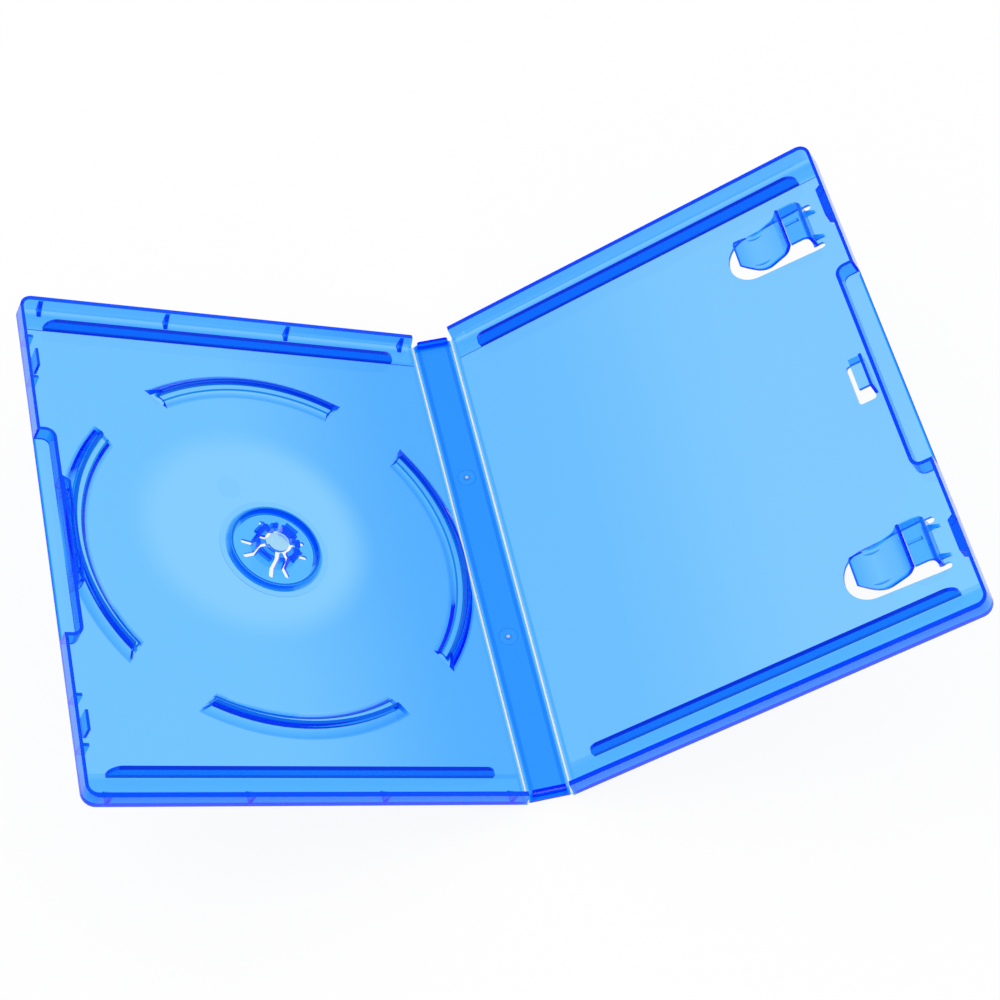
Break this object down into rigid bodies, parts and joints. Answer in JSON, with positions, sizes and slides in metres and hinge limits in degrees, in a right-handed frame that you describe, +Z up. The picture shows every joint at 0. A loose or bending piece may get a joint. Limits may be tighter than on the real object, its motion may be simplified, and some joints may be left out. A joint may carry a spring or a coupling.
{
  "type": "game disc case",
  "caption": "Hinged translucent plastic case for one game disc, standing open on its spine, with a disc tray, booklet clips and a press-to-release hub.",
  "frame": {"origin": "middle of the spine's outer face, which the case stands on", "axes": "+Z up, +Y along the spine, the disc tray towards -X and the cover towards +X"},
  "size_m": [0.2527, 0.171, 0.0687],
  "materials": {
    "case_plastic": "clear blue polypropylene, polished, see-through"
  },
  "bodies": {
    "spine": {"spine": "case_plastic"},
    "tray": {"disc_tray": "case_plastic"},
    "button": {"hub_button": "case_plastic"},
    "cover": {"cover": "case_plastic"},
    "upper_clip": {"upper_booklet_clip": "case_plastic"},
    "lower_clip": {"lower_booklet_clip": "case_plastic"}
  },
  "joints": [
    {"name": "tray_hinge", "type": "hinge", "parent": "spine", "child": "tray", "pos_m": [-0.0065, 0, 0.0002], "axis": [0, 1, 0], "range_deg": [-24.6, 65.4]},
    {"name": "cover_hinge", "type": "hinge", "parent": "spine", "child": "cover", "pos_m": [0.0065, 0, 0.0002], "axis": [0, -1, 0], "range_deg": [-27.8, 62.2]},
    {"name": "button_press", "type": "slide", "parent": "tray", "child": "button", "axis": [0.4163, 0, 0.9092], "range_m": [-0.0012, 0], "stiffness_N_per_m": 6000},
    {"name": "upper_clip_flex", "type": "hinge", "parent": "cover", "child": "upper_clip", "pos_m": [0.10699, 0.0592, 0.06132], "axis": [0, 1, 0], "range_deg": [0, 12], "stiffness_Nm_per_rad": 0.28},
    {"name": "lower_clip_flex", "type": "hinge", "parent": "cover", "child": "lower_clip", "pos_m": [0.10699, -0.0592, 0.06132], "axis": [0, 1, 0], "range_deg": [0, 12], "stiffness_Nm_per_rad": 0.28}
  ]
}
